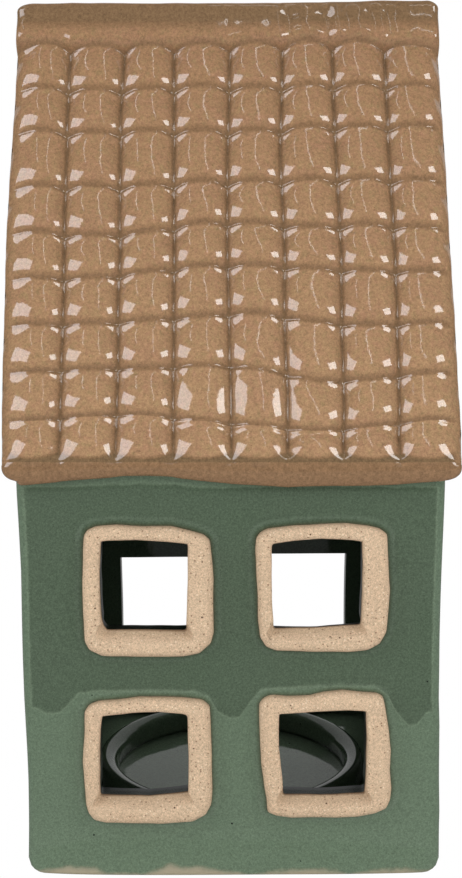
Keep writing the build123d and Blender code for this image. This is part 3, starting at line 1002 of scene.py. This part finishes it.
def window_frame(name):
    """A flat band of clay with softly rounded edges, on a short sleeve that widens below its sill."""
    centre, angles, outer, opening = frame_shape(name)
    front, back = WALL_FACE + FRAME_PROUD, WALL_FACE - FRAME_SET_IN
    drop = SILL_DROPS[name]
    down, aside = -np.sin(angles), np.abs(np.cos(angles))
    sill = ramp(down / np.maximum(aside, np.abs(down)), 0.85, 0.15)
    low = ramp(down, 0.5, 0.15)
    edge = OPENING_EDGE + (SILL_EDGE - OPENING_EDGE) * sill
    rings = [(outer - 0.4, back, 0), (outer - 0.05, WALL_FACE + 0.3, 0)]
    for turn in np.linspace(0, pi / 2, 7):
        inward = FRAME_EDGE * (1 - cos(turn))
        rings.append((outer - inward, front - FRAME_SIDE * (1 - sin(turn)), 0))
    for share in (0.35, 0.65):
        radius = (outer - FRAME_EDGE) * (1 - share) + (opening + edge) * share
        rings.append((radius, front + 0.06, share))
    for turn in np.linspace(0, pi / 2, 8):
        flat = 2 * turn / pi
        round_in, sloped = edge * (1 - sin(turn)), edge * (1 - flat)
        round_back, sloping = OPENING_EDGE * (1 - cos(turn)), (FRAME_PROUD - 0.1) * flat
        y = front - round_back * (1 - sill) - sloping * sill
        rings.append((opening + round_in * (1 - sill) + sloped * sill, y, 1))
    for y in (WALL_FACE - 0.1, back):
        rings.append((opening + 0.05, y, 1))
    for share in (0.5, 1.0):
        y = back * (1 - share) + WALL_INSIDE * share
        rings.append((opening + 0.05 + (drop + SILL_RISE) * sill * share, y, 1))
    for y in (WALL_INSIDE, back):
        rings.append((opening + SLEEVE + drop * sill, y, 0))
    loops = []
    for radius, y, raised in rings:
        x = centre[0] + radius * np.cos(angles)
        z = centre[1] + radius * np.sin(angles) + SILL_RISE * low * raised
        loops.append(np.stack([x, -y * np.ones_like(x), z], axis=1))
    loops = np.asarray(loops)
    loops += 0.10 * (uneven(loops, 5.0, 1.0) - loops)
    loops = uneven(loops)
    tube(name, "bare_clay", loops, True)


# Walls
def steps_between(start, end, cell):
    """Places between two ends, at most one cell apart, without the last."""
    return list(np.linspace(start, end, max(int(np.ceil(abs(end - start) / cell)), 1) + 1)[:-1])


def lines_through(stops, cell):
    """Grid lines through all the stops, at most one cell apart."""
    lines = []
    for start, end in zip(stops, stops[1:]):
        lines += steps_between(start, end, cell)
    return np.array(lines + [stops[-1]])


def wall_plan(x_lines, side):
    """The plan of a long wall: (x, y) of its outer and inner face at each column, round both corners."""
    turn = np.linspace(0, pi / 2, 7)
    corner = WALL_HALF - CORNER_ROUND
    bend_x = corner + CORNER_ROUND * np.cos(turn)
    bend_y = WALL_FACE - CORNER_ROUND + CORNER_ROUND * np.sin(turn)
    side_y = np.array(steps_between(WALL_INSIDE, WALL_FACE - CORNER_ROUND, 0.8))
    inner_lines = x_lines[np.abs(x_lines) < corner]
    edge, face = 0 * side_y + WALL_HALF, 0 * inner_lines + WALL_FACE
    x = np.concatenate([-edge, -bend_x, inner_lines, bend_x[::-1], edge])
    y = np.concatenate([side_y, bend_y, face, bend_y[::-1], side_y[::-1]])
    return x, side * y


def holes_of_frames():
    """The rectangular holes in the front wall, as low and high (x, z) corners."""
    holes = []
    margin = SLEEVE + SLEEVE_GAP
    for name, outlines in FRAMES.items():
        points = np.reshape(outlines[1], (-1, 2))
        holes.append((points.min(0) - (margin, margin + SILL_DROPS[name]), points.max(0) + margin))
    return holes


def from_frames(x, z):
    """Distance from each place on the front wall to the nearest frame's edge, below 0 behind it."""
    nearest = np.full(x.shape, FAR)
    for name in FRAMES:
        centre, angles, outer = frame_shape(name)[:3]
        off_x, off_z = x - centre[0], z - centre[1]
        rim_x, rim_z = outer * np.cos(angles), outer * np.sin(angles)
        gaps = np.hypot(off_x[..., None] - rim_x, off_z[..., None] - rim_z).min(-1)
        turn = np.arctan2(off_z, off_x)
        behind = np.hypot(off_x, off_z) < np.interp(turn, angles, outer, period=2 * pi)
        nearest = np.minimum(nearest, np.where(behind, -gaps, gaps))
    return nearest


def coat_depth(x, z):
    """How far inside the upper coat of glaze each place on a wall lies."""
    line = np.reshape(COAT_EDGE, (-1, 2))
    above = (z - np.interp(x, line[:, 0], line[:, 1])) * 0.8
    aside = WALL_HALF - COAT_MARGIN - np.abs(x)
    return np.minimum(np.minimum(above, aside), COAT_TOP - z).clip(-COAT_DEEP, COAT_DEEP)


def settled(points):
    """Points of the walls with the lean of their side edges and the spread of their foot."""
    x, y, z = points[..., 0], points[..., 1], points[..., 2]
    lean = np.where(x < 0, np.interp(z, LEAN_HEIGHTS, LEAN_LEFT), np.interp(z, LEAN_HEIGHTS, LEAN_RIGHT))
    lean = lean * ramp(np.abs(x), LEAN_START, 2.5)
    short = np.clip(1 - z / FOOT_SPREAD_TOP, 0, 1)
    spread = FOOT_SPREAD * short**1.5 * ramp(-y, FOOT_SPREAD_START, 3.0)
    spread = spread * (1 - 0.4 * (np.abs(x) / WALL_HALF) ** 4)
    below = np.clip(FOOT_ROUND - z, 0, FOOT_ROUND)
    inset = FOOT_ROUND - np.sqrt(FOOT_ROUND**2 - below**2)
    inset = inset * ramp(np.abs(x), FOOT_ROUND_START, WALL_HALF - FOOT_ROUND_START) ** 2
    return np.stack([x + lean - np.sign(x) * inset, y - spread, z], axis=-1)


def long_wall(name, side, holes, relief):
    """A long wall with rounded corners and rectangular holes, and with the front's relief if asked."""
    corners = np.round(np.reshape(holes, (-1, 2)), 4)
    stops_x = sorted({-WALL_HALF, WALL_HALF, *corners[:, 0].tolist()})
    stops_z = sorted({BASE_TOP, EAVE_HEIGHT, *corners[:, 1].tolist()})
    cell = WALL_CELL if relief else PLAIN_CELL
    x, y = wall_plan(lines_through(stops_x, cell), side)
    z = lines_through(stops_z, cell)
    gx, gz = np.meshgrid(x, z)
    gy = np.tile(y, (len(z), 1))
    outer = np.stack([gx, gy, gz], axis=2)
    inner = np.stack([gx, np.full_like(gx, side * WALL_INSIDE), gz], axis=2)
    inner[-1, :, 2] = WALL_TOP_INSIDE
    rim = np.zeros_like(gx)
    coat = coat_depth(gx, gz)
    if relief:
        near = from_frames(gx, gz)
        outer[..., 1] += side * GLAZE_RISE * np.clip(1 - near / GLAZE_REACH, 0, 1) ** 2
        # The rim layer: a painted highlight line FRAME_LINE from each frame, weaker at middle heights, and
        # below 0 for the dark brown line against the frame.
        rim = np.exp(-(((near - FRAME_LINE) / 0.4) ** 2)) * np.where(np.abs(gz - 49) < 30, 0.45, 1.0)
        rim -= 1.2 * np.clip(1 - near / 0.7, 0, 1)
        outer[..., 1] += side * COAT_THICKNESS * ramp(coat, 0, 0.8)
        wave = np.interp(gx, EAVE_WAVE_X, EAVE_WAVE).clip(0)
        outer[..., 2] += wave * ramp(gz, 88, 5)
    else:
        lift = BACK_LIFT * ramp(gx, 0, 10) * np.exp(-(((gz - BACK_OPENING[1][1]) / 8) ** 2))
        outer[..., 2] += lift
        inner[..., 2] += lift
    mid_x, mid_z = (gx[1:, 1:] + gx[:-1, :-1]) / 2, (gz[1:, 1:] + gz[:-1, :-1]) / 2
    keep = np.ones(mid_x.shape, bool)
    for low, high in holes:
        keep &= ~((mid_x > low[0]) & (mid_x < high[0]) & (mid_z > low[1]) & (mid_z < high[1]))
    outer, inner = settled(uneven(outer)), settled(uneven(inner))
    layers = {"rim": (rim, 0 * rim), "coat": (coat, 0 * coat + COAT_DEEP)}
    plate(name, "wall_glaze", outer, inner, grid_normals(outer), keep, layers)


def gable_wall(name, side):
    """A gable wall from the base to the ridge, between the long walls."""
    bend = EAVE_HEIGHT + (CEILING_REACH - WALL_INSIDE) * tan(ROOF_SLOPE)
    z = lines_through((BASE_TOP, bend, CEILING_APEX), PLAIN_CELL)
    reach = np.minimum(WALL_INSIDE, (CEILING_APEX - z) / tan(ROOF_SLOPE))
    share = np.linspace(-1, 1, 41)
    y = reach[:, None] * share[None, :]
    gz = np.tile(z[:, None], (1, len(share)))
    outer = np.stack([np.full_like(y, side * WALL_HALF), y, gz], axis=2)
    inner = np.stack([np.full_like(y, side * GABLE_INSIDE), y, gz], axis=2)
    outer, inner = settled(uneven(outer)), settled(uneven(inner))
    normals = grid_normals(outer)
    normals[-2:] = (1.0, 0.0, 0.0)
    coat = np.where(gz > COAT_TOP - 1, COAT_DEEP, np.minimum(coat_depth(y, gz), 3.0))
    plate(name, "wall_glaze", outer, inner, normals, layers={"coat": (coat, 0 * coat + COAT_DEEP)})


def rounded_rectangle(half_x, half_y, radius, steps=7):
    """A rounded rectangle as points round the origin."""
    points = []
    for quarter, (sx, sy) in enumerate(((1, 1), (-1, 1), (-1, -1), (1, -1))):
        for turn in np.linspace(0, pi / 2, steps) + quarter * pi / 2:
            x, y = half_x - radius, half_y - radius
            points.append((sx * x + radius * cos(turn), sy * y + radius * sin(turn)))
    points = np.asarray(points)
    loop = []
    for number, (start, end) in enumerate(zip(points, np.roll(points, -1, axis=0))):
        count = 40 if number % steps == steps - 1 else 1
        loop += [start + (end - start) * share / count for share in range(count)]
    return np.asarray(loop)


def base_slab():
    """The floor slab with its rounded foot."""
    loops = []
    profile = ((0.9, 0.0), (0.5, 0.1), (0.2, 0.35), (0.05, 0.8), (0.0, 1.4), (0.0, 3.0), (0.0, 4.5))
    for inset, z in (*profile, (0.0, BASE_TOP)):
        loop = rounded_rectangle(WALL_HALF - inset, WALL_FACE - inset, FOOT_CORNER)
        loops.append(np.column_stack([loop, np.full(len(loop), z)]))
    loops = settled(uneven(np.asarray(loops)))
    coat = np.full(loops.shape[:2], -COAT_DEEP)
    tube("base_slab", "wall_glaze", loops, False, layers={"coat": coat})


def candle_ring():
    """A low ring that holds the tealight."""
    inner, outer = RING_RADIUS - 4.5, RING_RADIUS + 0.6
    outline = (
        (inner, 0.0),
        (inner + 0.1, 2.6),
        (inner + 0.6, 4.2),
        (inner + 1.6, 5.0),
        (outer - 1.6, 5.5),
        (outer - 0.5, 4.9),
        (outer - 0.1, 3.0),
        (outer, 0.0),
    )
    radii, z = np.concatenate([curve(outline, 3), [((inner + outer) / 2, 0.0)]]).T[:, :, None]
    turns = np.linspace(0, 2 * pi, 96, endpoint=False)
    loops = np.stack([radii * np.cos(turns), radii * np.sin(turns), z + BASE_TOP + 0 * turns], axis=2)
    loops = uneven(loops)
    tube("candle_ring", "wall_glaze", loops, True, layers={"coat": np.full(loops.shape[:2], COAT_DEEP)})


roof()
for frame_name in FRAMES:
    window_frame(frame_name)
long_wall("front_wall", -1, holes_of_frames(), True)
long_wall("back_wall", 1, [BACK_OPENING], False)
gable_wall("left_gable_wall", -1)
gable_wall("right_gable_wall", 1)
base_slab()
candle_ring()


# Table, light and camera
def lamp(name, azimuth, elevation, width, height, radiance, part, colour=(1.0, 1.0, 1.0)):
    """A softbox aimed at the middle of the house. Azimuth 0 is in front, 90 to the right."""
    a, e = radians(azimuth), radians(elevation)
    away = Vector((sin(a) * cos(e), -cos(a) * cos(e), sin(e)))
    data = bpy.data.lights.new(name, "AREA")
    data.shape = "RECTANGLE"
    data.size, data.size_y = width, height
    data.energy = radiance * pi * width * height
    data.color = colour
    holder = placed(name, data)
    holder.location = Vector(LAMP_TARGET) + away * LAMP_DISTANCE
    holder.rotation_euler = away.to_track_quat("Z", "Y").to_euler()
    holder.visible_camera = False
    holder.visible_diffuse = part != "glossy"
    holder.visible_glossy = part != "diffuse"


def table_top():
    """A white table that mirrors as grey near the house and dark further out."""
    material, nodes = surface("white_table")
    place = nodes.place()
    reach = nodes.add("ShaderNodeVectorMath", {"operation": "LENGTH"}, {0: place}, output="Value")
    seen = nodes.add("ShaderNodeLightPath")
    grey = 0.04 + 0.2 * (1 - reach.ramp(0.5, 1.2))
    mirrored = nodes.add("ShaderNodeEmission", {}, {"Strength": grey})
    white = nodes.add("ShaderNodeEmission", {}, {"Strength": 1.0})
    paint = nodes.add("ShaderNodeBsdfDiffuse", {}, {"Color": (0.8, 0.8, 0.8, 1.0)})
    in_glaze = {0: seen.beside("Is Glossy Ray"), 1: paint, 2: mirrored}
    glossy = nodes.add("ShaderNodeMixShader", {}, in_glaze)
    shown = nodes.add("ShaderNodeMixShader", {}, {0: seen, 1: glossy, 2: white})
    nodes.add("ShaderNodeOutputMaterial", {}, {"Surface": shown})
    mesh = new_mesh("table", [(-3, -3, 0), (3, -3, 0), (3, 3, 0), (-3, 3, 0)], [(0, 1, 2, 3)])
    mesh.materials.append(material)
    floor = placed("table", mesh)
    floor.location.z = -0.0002


def world_light():
    """White behind the house, soft grey light all round and a dark studio in the glaze."""
    world = bpy.data.worlds.new("studio")
    bpy.context.scene.world = world
    world.use_nodes = True
    world.node_tree.nodes.clear()
    nodes = Nodes(world.node_tree)
    seen = nodes.add("ShaderNodeLightPath")
    level = seen + (1 - seen) * (0.68 - 0.64 * seen.beside("Is Glossy Ray"))
    background = nodes.add("ShaderNodeBackground", {}, {"Color": (1, 1, 1, 1), "Strength": level})
    nodes.add("ShaderNodeOutputWorld", {}, {"Surface": background})


lamp("left_softbox", -50, 30, 0.9, 0.6, 6.5, "glossy", (0.95, 0.94, 1.0))
lamp("right_softbox", 44, 29, 0.48, 0.34, 11.0, "glossy", (1.0, 0.99, 0.97))
lamp("left_tube", -76, 67, 0.9, 0.02, 7.0, "glossy")
lamp("right_tube", 10, 64, 0.02, 1.4, 7.0, "glossy")
lamp("left_fill", -50, 20, 1.0, 1.0, 1.6, "diffuse")
lamp("right_fill", 44, 20, 0.8, 0.8, 2.4, "diffuse")
lamp("rear_fill", 165, 25, 0.8, 0.6, 2.0, "diffuse")
lamp("rear_panel", 180, 18, 3.0, 1.4, 0.5, "glossy")
table_top()
world_light()

camera_data = bpy.data.cameras.new("camera")
camera_data.sensor_width = 36.0
camera_data.lens = CAMERA_LENS
camera = placed("camera", camera_data)
camera.location = Vector(CAMERA_PLACE) * MM
camera.rotation_euler = (CAMERA_TILT, 0, 0)
bpy.context.scene.camera = camera
bpy.context.scene.view_settings.view_transform = "Standard"
